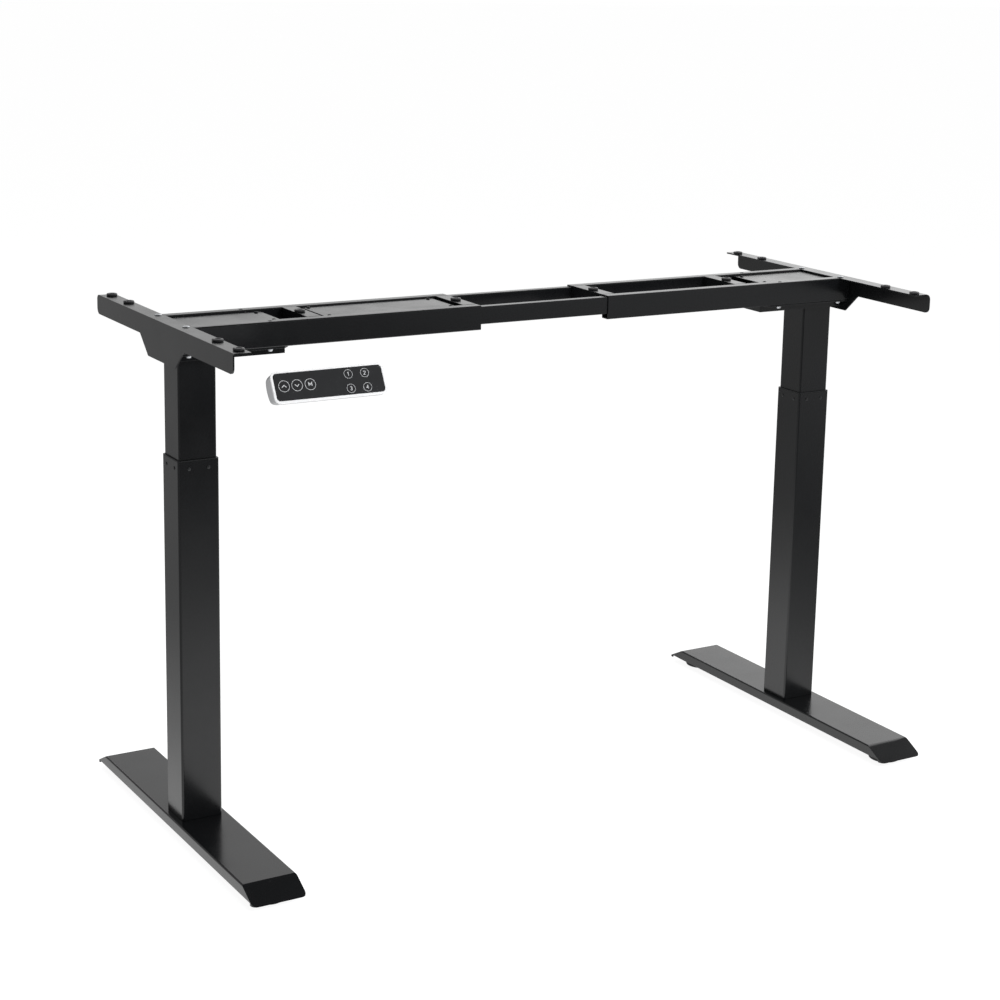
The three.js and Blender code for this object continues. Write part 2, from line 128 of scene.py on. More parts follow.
def zinc_plated_steel():
    """Cold-headed or turned steel, bright zinc plated: slightly blue silver whose passivation
    clouds its tone and gloss in patches of 3 to 4 mm."""
    material, tree, surface = new_material("zinc_plated_steel", {"Metallic": 0.9})
    place = node(tree, "ShaderNodeTexCoord").outputs["Object"]
    cloud = node(tree, "ShaderNodeTexNoise", inputs={"Scale": 280.0, "Detail": 3.0},
                 links={"Vector": place})
    tone = ramp(tree, cloud.outputs["Fac"], [(0.3, srgb("C9CDD2")), (0.7, srgb("ECEEF0"))])
    tree.links.new(tone, surface.inputs["Base Color"])
    gloss = node(tree, "ShaderNodeMapRange", inputs={"To Min": 0.2, "To Max": 0.4},
                 links={"Value": cloud.outputs["Fac"]})
    tree.links.new(gloss.outputs["Result"], surface.inputs["Roughness"])
    return material


def black_oxide_steel():
    """Hardened steel screws, blackened and oiled: near black metal with a soft oily sheen that
    varies over 2 mm."""
    material, tree, surface = new_material("black_oxide_steel", {"Metallic": 0.85})
    place = node(tree, "ShaderNodeTexCoord").outputs["Object"]
    film = node(tree, "ShaderNodeTexNoise", inputs={"Scale": 500.0, "Detail": 2.0},
                links={"Vector": place})
    tone = ramp(tree, film.outputs["Fac"], [(0.3, srgb("2A2B2D")), (0.7, srgb("404144"))])
    tree.links.new(tone, surface.inputs["Base Color"])
    gloss = node(tree, "ShaderNodeMapRange", inputs={"To Min": 0.28, "To Max": 0.46},
                 links={"Value": film.outputs["Fac"]})
    tree.links.new(gloss.outputs["Result"], surface.inputs["Roughness"])
    return material


def moulded_rubber(name, dark, light, roughness):
    """Black moulded rubber: dull, a little grey at random, with a matt grain that is drawn at 1 mm
    so that it shows. The feet's is duller and blacker than the pads'. The pads' greyer tone is
    partly their own and partly a painted reflection of the light on their tops."""
    material, tree, surface = new_material(name, {"Roughness": roughness, "IOR": 1.52})
    place = node(tree, "ShaderNodeTexCoord").outputs["Object"]
    grain = node(tree, "ShaderNodeTexNoise", inputs={"Scale": 1000.0, "Detail": 2.0},
                 links={"Vector": place})
    tone = ramp(tree, grain.outputs["Fac"], [(0.35, srgb(dark)), (0.7, srgb(light))])
    tree.links.new(tone, surface.inputs["Base Color"])
    bump = node(tree, "ShaderNodeBump", inputs={"Strength": 0.15, "Distance": 0.0002},
                links={"Height": grain.outputs["Fac"]})
    tree.links.new(bump.outputs["Normal"], surface.inputs["Normal"])
    return material


def moulded_black_plastic():
    """Black ABS from a spark-eroded mould: an even satin grain of about 1 mm."""
    material, tree, surface = new_material("moulded_black_abs", {"Roughness": 0.42, "IOR": 1.53})
    place = node(tree, "ShaderNodeTexCoord").outputs["Object"]
    grain = node(tree, "ShaderNodeTexVoronoi", inputs={"Scale": 1000.0}, links={"Vector": place})
    tone = ramp(tree, grain.outputs["Distance"], [(0.1, srgb("121314")), (0.7, srgb("1C1D1F"))])
    tree.links.new(tone, surface.inputs["Base Color"])
    bump = node(tree, "ShaderNodeBump", inputs={"Strength": 0.12, "Distance": 0.0002},
                links={"Height": grain.outputs["Distance"]})
    tree.links.new(bump.outputs["Normal"], surface.inputs["Normal"])
    return material


def silver_painted_plastic(name, dark, light):
    """Silver paint on ABS: pale satin grey with a fine flake, drawn at 0.7 mm, that varies its
    tone. The back shell gets a darker copy of the bezel's paint, which is painted shade."""
    material, tree, surface = new_material(name, {
        "Metallic": 0.1, "Roughness": 0.36, "Coat Weight": 0.3, "Coat Roughness": 0.2,
    })
    place = node(tree, "ShaderNodeTexCoord").outputs["Object"]
    flake = node(tree, "ShaderNodeTexNoise", inputs={"Scale": 1400.0, "Detail": 1.0},
                 links={"Vector": place})
    tone = ramp(tree, flake.outputs["Fac"], [(0.35, srgb(dark)), (0.65, srgb(light))])
    tree.links.new(tone, surface.inputs["Base Color"])
    return material


def gloss_touch_panel():
    """Back-printed acrylic: a deep black under a clear polished face, with faint finger marks."""
    material, tree, surface = new_material("gloss_touch_panel", {
        "IOR": 1.49, "Coat Weight": 0.4, "Coat Roughness": 0.03,
    })
    place = node(tree, "ShaderNodeTexCoord").outputs["Object"]
    smear = node(tree, "ShaderNodeTexNoise", inputs={
        "Scale": 60.0, "Detail": 4.0, "Distortion": 0.6,
    }, links={"Vector": place})
    gloss = node(tree, "ShaderNodeMapRange", inputs={
        "From Min": 0.4, "From Max": 0.75, "To Min": 0.07, "To Max": 0.16,
    }, links={"Value": smear.outputs["Fac"]})
    tree.links.new(gloss.outputs["Result"], surface.inputs["Roughness"])
    tone = ramp(tree, smear.outputs["Fac"], [(0.4, srgb("17181A")), (0.75, srgb("1C1D1F"))])
    tree.links.new(tone, surface.inputs["Base Color"])
    return material


def printed_ink():
    """Screen-printed light grey ink behind the touch panel: flat and even, thinning a little at
    random over 1 mm."""
    material, tree, surface = new_material("printed_ink", {"Roughness": 0.45})
    place = node(tree, "ShaderNodeTexCoord").outputs["Object"]
    thin = node(tree, "ShaderNodeTexNoise", inputs={"Scale": 900.0, "Detail": 2.0},
                links={"Vector": place})
    tone = ramp(tree, thin.outputs["Fac"], [(0.35, srgb("A9ABAE")), (0.65, srgb("CFD0D2"))])
    tree.links.new(tone, surface.inputs["Base Color"])
    return material


FINISH = {
    "powder_coat": powder_coated_steel(),
    "zinc_steel": zinc_plated_steel(),
    # The pads' rubber is greyer than the feet's: partly its own tone, partly a painted reflection.
    "rubber": moulded_rubber("moulded_rubber_pads", "242425", "343436", 0.36),
    "black_plastic": moulded_black_plastic(),
    "silver_plastic": silver_painted_plastic("silver_painted_abs_bezel", "DEDFE1", "F0F0F1"),
    "face_plastic": gloss_touch_panel(),
}
BLACK_OXIDE = black_oxide_steel()
INK = printed_ink()
FOOT_RUBBER = moulded_rubber("moulded_rubber_feet", "0F0F10", "1A1A1B", 0.62)
# The handset's back shell: the bezel's silver paint made darker, as painted shade.
SHADED_SHELL_PAINT = silver_painted_plastic("silver_painted_abs_shell_painted_shade", "A9AAAC", "BFC0C2")


# ---------------------------------------------------------------- CAD nodes: finish and soft edges
FLAT_ANGLE = math.radians(1.0)
ROUND_ANGLE = math.radians(40.0)
ROUND_STEPS = 3
CAD_SHADE_ANGLE = math.radians(32.0)


def node_group(name, build):
    """A geometry node group. build takes its tree and its geometry, and gives the changed one."""
    tree = bpy.data.node_groups.new(name, "GeometryNodeTree")
    for way in ("INPUT", "OUTPUT"):
        tree.interface.new_socket("Geometry", in_out=way, socket_type="NodeSocketGeometry")
    source = node(tree, "NodeGroupInput").outputs["Geometry"]
    node(tree, "NodeGroupOutput", links={"Geometry": build(tree, source)})
    return tree


def weld_corners(tree, source):
    """Joins the corners where faces meet, so that the edges between them can be rounded."""
    bare = node(tree, "GeometryNodeRemoveAttribute", inputs={"Name": "custom_normal"},
                links={"Geometry": source})
    return node(tree, "GeometryNodeMergeByDistance", inputs={"Distance": 0.01 * MM},
                links={"Geometry": bare.outputs["Geometry"]}).outputs["Geometry"]


def shade_smooth(tree, source):
    """Shades smooth across every edge that bends less than the shading angle."""
    smooth = node(tree, "GeometryNodeSetShadeSmooth", {"domain": "FACE"},
                  {"Shade Smooth": True}, {"Geometry": source})
    angle = node(tree, "GeometryNodeInputMeshEdgeAngle").outputs["Unsigned Angle"]
    soft = node(tree, "FunctionNodeCompare", {"data_type": "FLOAT", "operation": "LESS_THAN"},
                {"B": CAD_SHADE_ANGLE}, {"A": angle})
    return node(tree, "GeometryNodeSetShadeSmooth", {"domain": "EDGE"}, links={
        "Geometry": smooth.outputs["Geometry"], "Shade Smooth": soft.outputs["Result"],
    }).outputs["Geometry"]


WELD = node_group("weld_corners", weld_corners)
SHADE = node_group("shade_smooth", shade_smooth)

# Rounding of the edges, in mm: sheet metal is sheared and deburred, castings and plastics rounder.
EDGE_ROUND = {
    "side_bracket": 1.0, "foot": 0.9, "column_tray": 0.8, "cross_plate_mid": 0.8,
    "cross_plate_end": 0.8, "motor_cover": 0.9, "outer_column": 0.3, "inner_column": 0.3,
    "rail_front": 0.3, "rail_rear": 0.3, "gearbox": 1.0, "motor": 0.8, "slide_bushing": 0.2,
    "control_box_housing": 1.2, "control_box_lid": 1.2, "handset_housing": 0.5,
    "handset_bezel": 0.7, "handset_face": 0.1,
}


def soften(thing, width):
    """Rounds a CAD body's edges by width mm and shades it, by modifiers. The last one keeps the
    large faces flat, so that only the rounded edges bend a reflection."""
    weld = thing.modifiers.new("weld", "NODES")
    weld.node_group = WELD
    flat = thing.modifiers.new("flat", "DECIMATE")
    flat.decimate_type = "DISSOLVE"
    flat.angle_limit = FLAT_ANGLE
    bevel = thing.modifiers.new("bevel", "BEVEL")
    bevel.width = width * MM
    bevel.segments = ROUND_STEPS
    bevel.limit_method = "ANGLE"
    bevel.angle_limit = ROUND_ANGLE
    shade = thing.modifiers.new("shade", "NODES")
    shade.node_group = SHADE
    flatten = thing.modifiers.new("flatten", "WEIGHTED_NORMAL")
    flatten.mode = "FACE_AREA"
    flatten.weight = 100
    flatten.keep_sharp = True


slots = {s["node"]: s["material_slot"] for s in frame["record"]["subparts"]}
for name, thing in nodes.items():
    thing.data.materials.clear()
    # The back shell takes the darker copy of the silver paint: painted shade.
    thing.data.materials.append(SHADED_SHELL_PAINT if name == "handset_housing" else FINISH[slots[name]])
    kind = name.removeprefix("left_").removeprefix("right_")
    if kind in EDGE_ROUND:
        soften(thing, EDGE_ROUND[kind])


# ---------------------------------------------------------------- mesh helpers, in mm
TURN_STEPS = 32
CROSS_ARM = 0.13
MITRE_LEAST = 0.35
PIECE_SHADE_ANGLE = math.radians(35.0)


def at(x, y, z, axis=(0, 0, 1), turn=0.0):
    """A place in mm whose z axis points along axis, turned about it by turn degrees."""
    aim = Vector(axis).to_track_quat("Z", "Y").to_matrix().to_4x4()
    return Matrix.Translation((x, y, z)) @ aim @ Matrix.Rotation(math.radians(turn), 4, "Z")


def lathe(mesh, profile, place, steps=TURN_STEPS):
    """Turns a (radius, height) profile about the place's z axis. Returns its last ring."""
    rings = []
    for radius, height in profile:
        angles = [0.0] if radius == 0 else [math.tau * i / steps for i in range(steps)]
        ring = [Vector((radius * math.cos(a), radius * math.sin(a), height)) for a in angles]
        rings.append([mesh.verts.new(place @ point) for point in ring])
    for low, high in zip(rings, rings[1:]):
        for i in range(steps):
            j = (i + 1) % steps
            if len(low) == 1:
                mesh.faces.new((low[0], high[j], high[i]))
            elif len(high) == 1:
                mesh.faces.new((low[i], low[j], high[0]))
            else:
                mesh.faces.new((low[i], low[j], high[j], high[i]))
    return rings[-1]


def cross_outline(size):
    """A cross recess's outline, size across its arms."""
    long, half = size / 2, size * CROSS_ARM
    corner = [(long, -half), (long, half), (half, half)]
    return [(x * c - y * s, x * s + y * c) for c, s in ((1, 0), (0, 1), (-1, 0), (0, -1))
            for x, y in corner]


def hex_outline(size):
    """A hexagon's outline, size across its flats."""
    reach = size / math.sqrt(3)
    return [(reach * math.cos(math.radians(60 * i)), reach * math.sin(math.radians(60 * i)))
            for i in range(6)]


def headed(mesh, profile, place, outline, depth, taper):
    """A turned head whose last ring is its flat top, with a recess of that outline in it, whose
    floor is taper times as large."""
    rim = lathe(mesh, profile, place)
    top = profile[-1][1]
    lip = [mesh.verts.new(place @ Vector((x, y, top))) for x, y in outline]
    floor = [mesh.verts.new(place @ Vector((x * taper, y * taper, top - depth)))
             for x, y in outline]
    count = len(outline)
    edges = [mesh.edges.get((rim[i], rim[(i + 1) % len(rim)])) for i in range(len(rim))]
    edges += [mesh.edges.new((lip[i], lip[(i + 1) % count])) for i in range(count)]
    bmesh.ops.triangle_fill(mesh, edges=edges, use_beauty=True,
                            normal=place.to_3x3() @ Vector((0, 0, 1)))
    for i in range(count):
        j = (i + 1) % count
        mesh.faces.new((lip[i], lip[j], floor[j], floor[i]))
    mesh.faces.new(floor)


def pan_head(mesh, place, radius, height):
    """A cross-recessed pan head standing on its place."""
    profile = [(0, 0), (radius, 0), (radius, 0.3 * height), (0.96 * radius, 0.55 * height),
               (0.85 * radius, 0.8 * height), (0.7 * radius, 0.95 * height),
               (0.58 * radius, height)]
    headed(mesh, profile, place, cross_outline(radius), 0.6 * height, 0.55)


def socket_head(mesh, place, radius, height):
    """A button or cap head with a hexagon socket, standing on its place."""
    profile = [(0, 0), (radius, 0), (radius, 0.55 * height), (0.93 * radius, 0.8 * height),
               (0.8 * radius, 0.95 * height), (0.7 * radius, height)]
    headed(mesh, profile, place, hex_outline(radius), 0.65 * height, 0.97)


def stroke(mesh, place, points, width, high):
    """A raised line of that width through the points, with mitred corners."""
    points = [Vector(p) for p in points]
    sides = []
    for i, point in enumerate(points):
        before = (point - points[i - 1]).normalized() if i else None
        after = (points[i + 1] - point).normalized() if i + 1 < len(points) else None
        before, after = before or after, after or before
        ahead = (before + after).normalized()
        normal = Vector((-ahead.y, ahead.x))
        stretch = width / 2 / max(MITRE_LEAST, normal.dot(Vector((-after.y, after.x))))
        sides.append((point + normal * stretch, point - normal * stretch))
    outline = [a for a, _ in sides] + [b for _, b in reversed(sides)]
    low, top = ([mesh.verts.new(place @ Vector((*p, z))) for p in outline] for z in (0.0, high))
    mesh.faces.new(low)
    mesh.faces.new(top)
    for i in range(len(outline)):
        j = (i + 1) % len(outline)
        mesh.faces.new((low[i], low[j], top[j], top[i]))


def piece(name, build, body, slot, material=None, stands_for=()):
    """Makes one piece: build fills a mesh in mm, which is then shaded, finished and set to ride on
    the body. stands_for names the CAD nodes that the piece replaces."""
    work = bmesh.new()
    build(work)
    bmesh.ops.recalc_face_normals(work, faces=work.faces)
    bmesh.ops.scale(work, vec=(MM, MM, MM), verts=work.verts)
    data = bpy.data.meshes.new(name)
    work.to_mesh(data)
    work.free()
    data.shade_smooth()
    data.set_sharp_from_angle(angle=PIECE_SHADE_ANGLE)
    data.materials.append(material or FINISH[slot])
    thing = bpy.data.objects.new(name, data)
    bpy.context.scene.collection.objects.link(thing)
    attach(thing, body)
    if stands_for:
        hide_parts(*stands_for)


def each(draw, places):
    """A builder that draws at every place."""
    def build(mesh):
        for place in places:
            draw(mesh, place)
    return build


def centre_of(name):
    """The middle of a CAD node's box, in mm."""
    low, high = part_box(name)
    return [(a + b) / 2 / MM for a, b in zip(low, high)]


# ---------------------------------------------------------------- rubber pads under the desk top
FRAME_TOP = 885.0
BUSH_SEAT = 1.8


def rubber_bush(mesh, place):
    """A grommet pressed into its hole: a rounded ring with a sunk seat for its screw."""
    lathe(mesh, [
        (0, -4.4), (2.6, -4.4), (3.1, -3.6), (3.0, 0.3), (8.6, 0.3), (9.1, 0.7), (9.3, 1.4),
        (9.25, 2.4), (8.9, 3.2), (8.2, 3.8), (7.2, 4.0), (5.2, 3.9), (4.5, 3.6), (4.2, 3.0),
        (4.1, BUSH_SEAT), (0, BUSH_SEAT),
    ], place, 40)


def bush_screw(mesh, place):
    """A small pan head on the bush's sunk seat."""
    pan_head(mesh, place @ Matrix.Translation((0, 0, BUSH_SEAT)), 3.5, 1.6)


for side, sign in SIDES:
    names = [f"{side}_pad_{i}" for i in ("mid", "end", 1, 2, 3, 4)]
    for index, name in enumerate(names):
        x, y, _ = centre_of(name)
        place = at(x, y, FRAME_TOP, turn=37 * index + 11 * sign)
        piece(name + "_bush", each(rubber_bush, [place]), f"{side}_frame", "rubber",
              stands_for=[name])
        piece(name + "_screw", each(bush_screw, [place]), f"{side}_frame", "zinc_steel",
              material=BLACK_OXIDE)


# ---------------------------------------------------------------- bracket screws
def bracket_screw(mesh, place):
    """A low domed head 12 mm across, on a 6 mm shank."""
    headed(mesh, [(0, -12), (2.6, -12), (3, -11.4), (3, 0.2), (5.9, 0.2), (6.1, 0.5), (5.9, 0.9),
                  (5.4, 1.3), (4.6, 1.6), (3.6, 1.75), (2.6, 1.8)],
           place, cross_outline(4.0), 1.2, 0.6)


for side, sign in SIDES:
    for end in ENDS:
        name = f"{side}_bracket_screw_{end}"
        x, y, _ = centre_of(name)
        place = at(x, y, FRAME_TOP, turn=20 * sign + y / 7)
        piece(name + "_head", each(bracket_screw, [place]), f"{side}_frame", "zinc_steel",
              stands_for=[name])


# ---------------------------------------------------------------- levelling glides
HUB_RADIUS = 9.2
HUB_TOP = 13.6
COLLAR_TOP = 16.0
STUD_TOP = 31.6
THREAD_PITCH = 1.25
THREAD_TURNS = 12


def glide_pad(mesh, place):
    """A moulded foot with two grooves round its side and a raised hub."""
    lathe(mesh, [
        (0, 0), (24, 0), (27.5, 0.4), (29.4, 1.6), (30, 3.2), (30, 4.2), (29.2, 4.7), (29.2, 5.3),
        (30, 5.8), (30, 7.0), (29.2, 7.5), (29.2, 8.1), (30, 8.6), (30, 10.0), (29.2, 11.3),
        (27.6, 12.0), (11, 12.0), (9.6, 12.6), (HUB_RADIUS, HUB_TOP), (0, HUB_TOP),
    ], place, 56)


def glide_stud(mesh, place):
    """An M8 stud, its turns drawn as rings 1.25 mm apart, with a hexagon collar on the pad."""
    reach = 1.15 * HUB_RADIUS / math.sqrt(3)
    lathe(mesh, [(0, HUB_TOP), (reach, HUB_TOP), (reach + 0.5, HUB_TOP + 0.4),
                 (reach + 0.5, COLLAR_TOP - 0.6), (reach, COLLAR_TOP), (0, COLLAR_TOP)], place, 6)
    roots = [COLLAR_TOP + THREAD_PITCH * i for i in range(THREAD_TURNS)]
    turns = [point for z in roots for point in ((3.5, z), (4.0, z + 0.6))]
    lathe(mesh, [(0, COLLAR_TOP - 0.1), *turns, (3.4, STUD_TOP), (0, STUD_TOP)], place, 28)


for side, _ in SIDES:
    for end in ENDS:
        name = f"{side}_glide_{end}"
        x, y, _ = centre_of(name)
        piece(name + "_pad", each(glide_pad, [at(x, y, 0)]), name, "rubber",
              material=FOOT_RUBBER, stands_for=[name])
        piece(name + "_stud", each(glide_stud, [at(x, y, 0)]), name, "zinc_steel")


# ---------------------------------------------------------------- legs: pins and bolts
PIN_Z = 645.0
PIN_OUT = 17
FOOT_BOLT_Z = 31.9
FOOT_BOLT_OUT = 22
HEAD_BOLT_OUT = 35
TRAY_SHEET = 3.0
END_PLATE = 3.0
FIT_GAP = 0.3
BOLT_GAP = 0.1
UNDER = (0, 0, -1)


def pin_head(mesh, place):
    """A moulded peg that locks the slide bushing in the tube, its round head just proud."""
    lathe(mesh, [(0, -1.2), (2.7, -1.2), (2.7, 0.1), (3.1, 0.2), (3.0, 0.6), (2.4, 1.0),
                 (1.3, 1.25), (0, 1.3)], place, 20)


def foot_bolt(mesh, place):
    """A button head that holds the foot to the column, seen from below."""
    socket_head(mesh, place, 6.2, 4.5)


def plate_bolt(mesh, place):
    """A button head under the column's end plate, which holds it to the tray."""
    socket_head(mesh, place, 5.5, 4.0)


for side, _ in SIDES:
    low, high = ([v / MM for v in corner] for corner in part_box(f"{side}_outer_column"))
    x = (low[0] + high[0]) / 2
    pins = []
    for shift in (-PIN_OUT, PIN_OUT):
        pins += [at(low[0], shift, PIN_Z, (-1, 0, 0)), at(high[0], shift, PIN_Z, (1, 0, 0)),
                 at(x + shift, low[1], PIN_Z, (0, -1, 0)), at(x + shift, high[1], PIN_Z, (0, 1, 0))]
    piece(f"{side}_bushing_pins", each(pin_head, pins), f"{side}_leg", "black_plastic")
    feet = [at(x + a, b, FOOT_BOLT_Z, UNDER, 15 * a)
            for a in (-FOOT_BOLT_OUT, FOOT_BOLT_OUT) for b in (-FOOT_BOLT_OUT, FOOT_BOLT_OUT)]
    piece(f"{side}_foot_bolts", each(foot_bolt, feet), f"{side}_leg", "zinc_steel")
    plate_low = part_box(f"{side}_column_tray")[1][2] / MM - TRAY_SHEET - FIT_GAP - END_PLATE
    heads = [at(x + a, b, plate_low - BOLT_GAP, UNDER, 6 * b)
             for a in (-HEAD_BOLT_OUT, HEAD_BOLT_OUT) for b in (-HEAD_BOLT_OUT, HEAD_BOLT_OUT)]
    piece(f"{side}_head_bolts", each(plate_bolt, heads), f"{side}_frame", "zinc_steel")


# ---------------------------------------------------------------- head: tray, rail and cover screws
RAIL_Y = 60
RAIL_SCREW_X = 519.5
TRAY_SCREW_X = (RAIL_SCREW_X, 661)
COVER_SCREW_X = 502
COVER_SCREW_Y = 36
LID_SCREW_INSET = 9
LID_SCREW_Y = 41


def tray_screw(mesh, place):
    """A pan head with a pressed-on washer."""
    washer = 0.9
    lathe(mesh, [(0, 0), (5.2, 0), (5.4, 0.4), (5.2, washer), (0, washer)], place)
    pan_head(mesh, place @ Matrix.Translation((0, 0, washer)), 4.4, 3.6)


def flush_screw(mesh, place):
    """A countersunk head, its rim just above the sheet."""
    headed(mesh, [(0, -1.9), (1.8, -1.8), (3.5, 0.1), (3.4, 0.35), (2.9, 0.45)], place,
           cross_outline(3.4), 1.2, 0.5)


def cover_screw(mesh, place):
    """A small pan head on a sheet cover."""
    pan_head(mesh, place, 3.4, 1.9)


for side, sign in SIDES:
    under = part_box(f"{side}_column_tray")[1][2] / MM - TRAY_SHEET
    hung = [at(sign * x, RAIL_Y * y, under, UNDER, 30 * y + x / 9)
            for x in TRAY_SCREW_X for y in (-1, 1)]
    piece(f"{side}_tray_screws", each(tray_screw, hung), f"{side}_frame", "zinc_steel")
    sunk = [at(sign * RAIL_SCREW_X, RAIL_Y * y, FRAME_TOP, turn=31 * y) for y in (-1, 1)]
    piece(f"{side}_rail_screws", each(flush_screw, sunk), f"{side}_frame", "zinc_steel",
          material=BLACK_OXIDE)
    cover_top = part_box(f"{side}_motor_cover")[1][2] / MM
    held = [at(sign * COVER_SCREW_X, COVER_SCREW_Y * y, cover_top, turn=25 * y + 8 * sign)
            for y in (-1, 1)]
    piece(f"{side}_cover_screws", each(cover_screw, held), f"{side}_frame", "zinc_steel",
          material=BLACK_OXIDE)

lid_low, lid_high = ([v / MM for v in corner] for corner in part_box("control_box_lid"))
lid_screws = [at(x, y, lid_high[2], turn=x / 3 + y)
              for x in (lid_low[0] + LID_SCREW_INSET, lid_high[0] - LID_SCREW_INSET)
              for y in (-LID_SCREW_Y, LID_SCREW_Y)]
piece("control_box_screws", each(cover_screw, lid_screws), "left_frame", "zinc_steel",
      material=BLACK_OXIDE)


# ---------------------------------------------------------------- handset: printed keys
# The panel's own frame, in mm: along it, up its slope and out of it, from the middle of the bezel.
# The touch face lies FACE out from there.
TILT = math.radians(28)
BEZEL_CENTRE = (-541.8, -328.6, 834.2)
PANEL = Matrix.Translation(BEZEL_CENTRE) @ Matrix((
    (1, 0, 0, 0),
    (0, math.sin(TILT), -math.cos(TILT), 0),
    (0, math.cos(TILT), math.sin(TILT), 0),
    (0, 0, 0, 1),
))
FACE = 0.4
INK_HIGH = 0.12
# Widths of the printed lines, as shares of the ring's radius.
RING_WIDE = 0.075
GLYPH_WIDE = 0.13
# Each key: its centre on the panel, its ring's radius and its sign's strokes.
KEYS = {
    "up": ((-75.5, 1.5), 9.1, [[(-3.6, -1.7), (0, 1.9), (3.6, -1.7)]]),
    "down": ((-54.0, 1.3), 9.1, [[(-3.6, 1.7), (0, -1.9), (3.6, 1.7)]]),
    "memory": ((-32.2, 1.0), 9.1,
               [[(-2.5, -2.5), (-2.5, 2.5), (0, -0.5), (2.5, 2.5), (2.5, -2.5)]]),
    "1": ((33.7, 11.6), 7.2, [[(-1.1, 1.7), (0.3, 2.8), (0.3, -2.8)]]),
    "2": ((61.5, 11.4), 7.2, [[(-1.6, 1.6), (-1.1, 2.4), (0, 2.8), (1.1, 2.4), (1.6, 1.5),
                               (1.3, 0.4), (-1.7, -2.6), (1.8, -2.6)]]),
    "3": ((33.7, -11.5), 7.2, [[(-1.5, 2.1), (-0.6, 2.7), (0.5, 2.7), (1.4, 2.1), (1.4, 0.9),
                                (0.5, 0.15), (-0.4, 0.1)],
                               [(-0.4, 0.1), (0.7, -0.1), (1.5, -0.8), (1.5, -2.0), (0.5, -2.7),
                                (-0.7, -2.7), (-1.6, -2.0)]]),
    "4": ((61.8, -11.6), 7.2, [[(0.7, -2.8), (0.7, 2.8), (-1.8, -1.1), (1.8, -1.1)]]),
}


def key_marks(mesh):
    """The ring and the sign of every key, printed on the panel."""
    for (u, v), radius, glyph in KEYS.values():
        place = PANEL @ Matrix.Translation((u, v, FACE))
        width = RING_WIDE * radius
        lathe(mesh, [(radius - width, 0), (radius, 0), (radius, INK_HIGH),
                     (radius - width, INK_HIGH), (radius - width, 0)], place, 64)
        for points in glyph:
            stroke(mesh, place, points, GLYPH_WIDE * radius, INK_HIGH)
    bmesh.ops.remove_doubles(mesh, verts=mesh.verts, dist=0.001)


piece("handset_key_marks", key_marks, "left_frame", "silver_plastic", material=INK)


# ---------------------------------------------------------------- camera, floor and light
CAMERA_PLACE = (-1.93597, -3.22474, 1.50507)
CAMERA_TURN = (-32.019, -12.328, 1.491)
CAMERA_LENS = 77.197
CAMERA_SHIFT = (-0.0613, -0.0933)
FLOOR_HALF = 40.0
FLOOR_DROP = 0.0002
POOL_CENTRE = (0.0, -0.2, 0.0)
POOL_REACH = 4.0
# How bright the floor looks in reflections, by the distance from the pool's centre.
POOL = ((0.5, 1.25), (0.9, 0.82), (1.1, 0.58), (1.7, 0.24), (2.1, 0.15), (3.0, 0.05), (4.0, 0.03))
# Wide glows added to it: to the far right, behind, to the far left and left of the middle.
GLOWS = (("X", 1.4, 2.8, 0.4), ("Y", 0.8, 2.0, 0.14), ("X", -1.3, -1.9, 0.14),
         ("X", -0.4, -0.75, 0.1))
# The room's brightness in reflections goes from one level to the other between two directions:
# brighter behind the desk, brighter to its right, and dark overhead.
ROOM = (("Y", -0.3, 0.4, 0.4, 1.0), ("X", 0.13, 0.65, 0.4, 1.37), ("Z", 0.62, 0.8, 1.0, 0.15))


def look(yaw, pitch, roll):
    """Turns a camera that looks along +Y: yaw to its left, pitch up, roll to its left."""
    level = 90
    return (Matrix.Rotation(math.radians(yaw), 4, "Z")
            @ Matrix.Rotation(math.radians(level + pitch), 4, "X")
            @ Matrix.Rotation(math.radians(roll), 4, "Z"))


camera_data = bpy.data.cameras.new("camera")
camera = bpy.data.objects.new("camera", camera_data)
bpy.context.scene.collection.objects.link(camera)
camera.matrix_world = Matrix.Translation(CAMERA_PLACE) @ look(*CAMERA_TURN)
camera_data.sensor_width = 36.0
camera_data.lens = CAMERA_LENS
camera_data.shift_x, camera_data.shift_y = CAMERA_SHIFT
camera_data.clip_end = 200.0
bpy.context.scene.camera = camera
bpy.context.scene.view_settings.view_transform = "Standard"


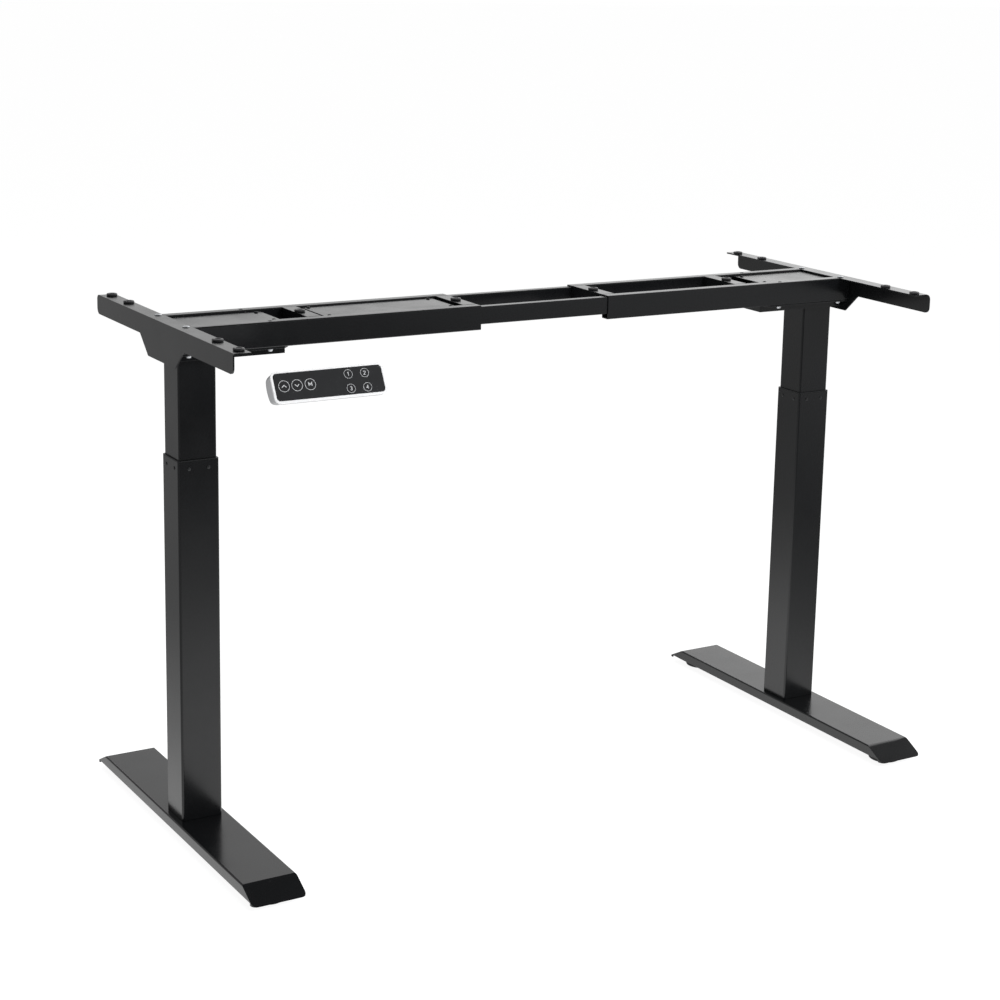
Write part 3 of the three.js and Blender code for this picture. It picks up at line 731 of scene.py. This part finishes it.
def make_floor():
    """A wide pale studio floor. Reflections see it as it looks under the lamp above the desk:
    bright near the feet and falling off with distance."""
    mesh = bpy.data.meshes.new("floor")
    corners = ((-1, -1), (1, -1), (1, 1), (-1, 1))
    mesh.from_pydata([(FLOOR_HALF * x, FLOOR_HALF * y, 0) for x, y in corners], [],
                     [(0, 1, 2, 3)])
    floor = bpy.data.objects.new("floor", mesh)
    floor.location.z = -FLOOR_DROP
    bpy.context.scene.collection.objects.link(floor)
    material = bpy.data.materials.new("pale_floor")
    material.use_nodes = True
    tree = material.node_tree
    tree.nodes.clear()
    paper = node(tree, "ShaderNodeBsdfDiffuse", inputs={"Color": srgb("8A8A8A")})
    glow = node(tree, "ShaderNodeEmission", inputs={"Color": srgb("FFFFFF"), "Strength": 0.92})
    seen = node(tree, "ShaderNodeAddShader")
    tree.links.new(paper.outputs["BSDF"], seen.inputs[0])
    tree.links.new(glow.outputs["Emission"], seen.inputs[1])
    place = node(tree, "ShaderNodeTexCoord").outputs["Object"]
    way = node(tree, "ShaderNodeSeparateXYZ", links={"Vector": place})
    shifted = node(tree, "ShaderNodeVectorMath", {"operation": "SUBTRACT"}, links={0: place})
    shifted.inputs[1].default_value = POOL_CENTRE
    reach = node(tree, "ShaderNodeVectorMath", {"operation": "LENGTH"},
                 links={0: shifted.outputs["Vector"]})
    scaled = node(tree, "ShaderNodeMapRange", inputs={"From Min": 0.0, "From Max": POOL_REACH},
                  links={"Value": reach.outputs["Value"]})
    pool = ramp(tree, scaled.outputs["Result"], [
        (distance / POOL_REACH, (level, level, level, 1)) for distance, level in POOL
    ])
    light = node(tree, "ShaderNodeRGBToBW", links={"Color": pool}).outputs["Val"]
    for axis, start, end, level in GLOWS:
        glow_at = node(tree, "ShaderNodeMapRange", {"interpolation_type": "SMOOTHSTEP"}, {
            "From Min": start, "From Max": end, "To Max": level,
        }, {"Value": way.outputs[axis]})
        light = node(tree, "ShaderNodeMath", {"operation": "ADD"},
                     links={0: light, 1: glow_at.outputs["Result"]}).outputs["Value"]
    mirrored = node(tree, "ShaderNodeEmission", links={"Strength": light})
    path = node(tree, "ShaderNodeLightPath")
    mix = node(tree, "ShaderNodeMixShader", links={0: path.outputs["Is Glossy Ray"],
                                                   1: seen.outputs["Shader"],
                                                   2: mirrored.outputs["Emission"]})
    node(tree, "ShaderNodeOutputMaterial", links={"Surface": mix.outputs["Shader"]})
    mesh.materials.append(material)


def area_light(name, place, target, size, power):
    """A soft white lamp at place, aimed at target, that reflections don't see."""
    data = bpy.data.lights.new(name, "AREA")
    data.shape = "RECTANGLE"
    data.size, data.size_y = size
    data.energy = power
    light = bpy.data.objects.new(name, data)
    light.location = place
    aim = Vector(target) - Vector(place)
    light.rotation_euler = aim.to_track_quat("-Z", "Y").to_euler()
    light.visible_glossy = False
    bpy.context.scene.collection.objects.link(light)


def make_world():
    """A pale room that only reflections see. The camera sees plain white."""
    world = bpy.data.worlds.new("studio")
    bpy.context.scene.world = world
    world.use_nodes = True
    tree = world.node_tree
    tree.nodes.clear()
    way = node(tree, "ShaderNodeSeparateXYZ",
               links={"Vector": node(tree, "ShaderNodeTexCoord").outputs["Generated"]})
    glare = None
    for axis, start, end, at_start, at_end in ROOM:
        level = node(tree, "ShaderNodeMapRange", inputs={
            "From Min": start, "From Max": end, "To Min": at_start, "To Max": at_end,
        }, links={"Value": way.outputs[axis]}).outputs["Result"]
        glare = level if glare is None else node(
            tree, "ShaderNodeMath", {"operation": "MULTIPLY"}, links={0: glare, 1: level},
        ).outputs["Value"]
    path = node(tree, "ShaderNodeLightPath")
    strength = node(tree, "ShaderNodeMix", {"data_type": "FLOAT"},
                    links={"Factor": path.outputs["Is Camera Ray"], "A": glare})
    strength.inputs["B"].default_value = 1.0
    back = node(tree, "ShaderNodeBackground", inputs={"Color": srgb("FFFFFF")},
                links={"Strength": strength.outputs["Result"]})
    node(tree, "ShaderNodeOutputWorld", links={"Surface": back.outputs["Background"]})


make_floor()
make_world()
area_light("key", place=(-0.6, 0.6, 3.2), target=(0, 0, 0), size=(3.0, 3.0), power=55)
area_light("fill", place=(1.2, -3.6, 2.6), target=(-0.5, -0.3, 0.8), size=(1.6, 1.6), power=140)
